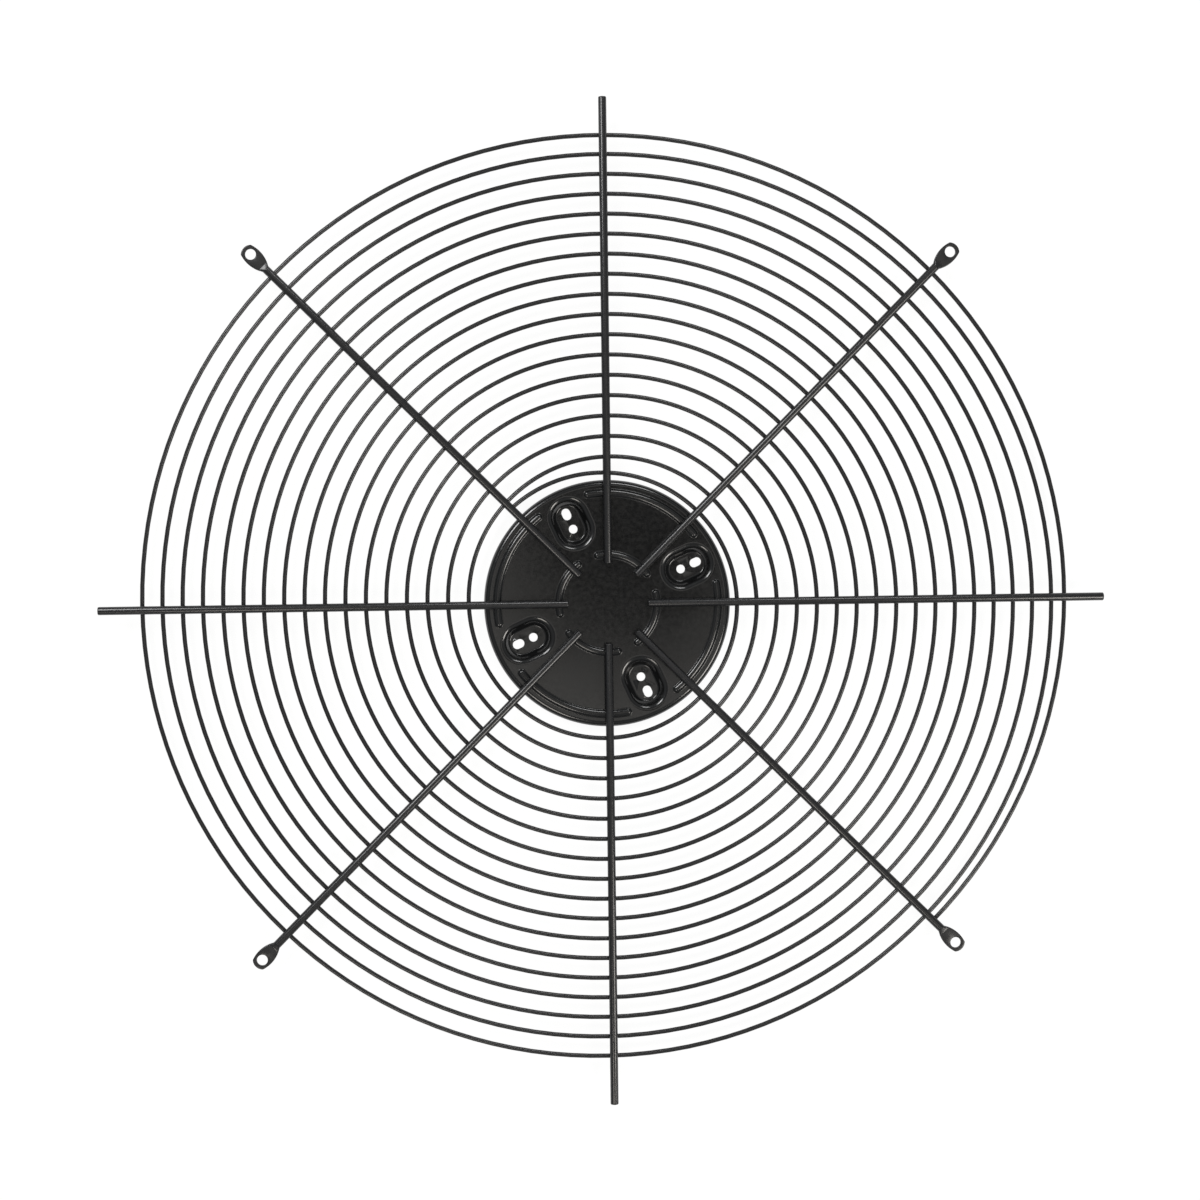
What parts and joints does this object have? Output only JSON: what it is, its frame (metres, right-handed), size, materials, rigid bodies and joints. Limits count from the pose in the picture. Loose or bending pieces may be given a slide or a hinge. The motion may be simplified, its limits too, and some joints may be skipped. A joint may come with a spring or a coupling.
{
  "type": "wire fan guard",
  "caption": "Round wire finger guard for an axial fan: a spiral wire welded behind radial spokes, some ending in screw eyelets, on a pressed hub plate that carries the motor.",
  "frame": {"origin": "on the guard's axis, in the plane of the four motor seats, the lowest faces when it lies on its back", "axes": "+Z along the axis towards the front, where the spokes are; +X along one plain spoke, +Y along the next, so the eyelets lie at 45 degrees to both"},
  "size_m": [0.5208, 0.5208, 0.0118],
  "materials": {
    "coated_sheet": "satin",
    "coated_wire": "satin"
  },
  "bodies": {
    "root": {"hub_plate": "coated_sheet", "spiral_wire": "coated_wire", "eyelet_spoke_45": "coated_wire", "eyelet_spoke_135": "coated_wire", "eyelet_spoke_225": "coated_wire", "eyelet_spoke_315": "coated_wire", "plain_spoke_0": "coated_wire", "plain_spoke_90": "coated_wire", "plain_spoke_180": "coated_wire", "plain_spoke_270": "coated_wire"}
  },
  "joints": []
}
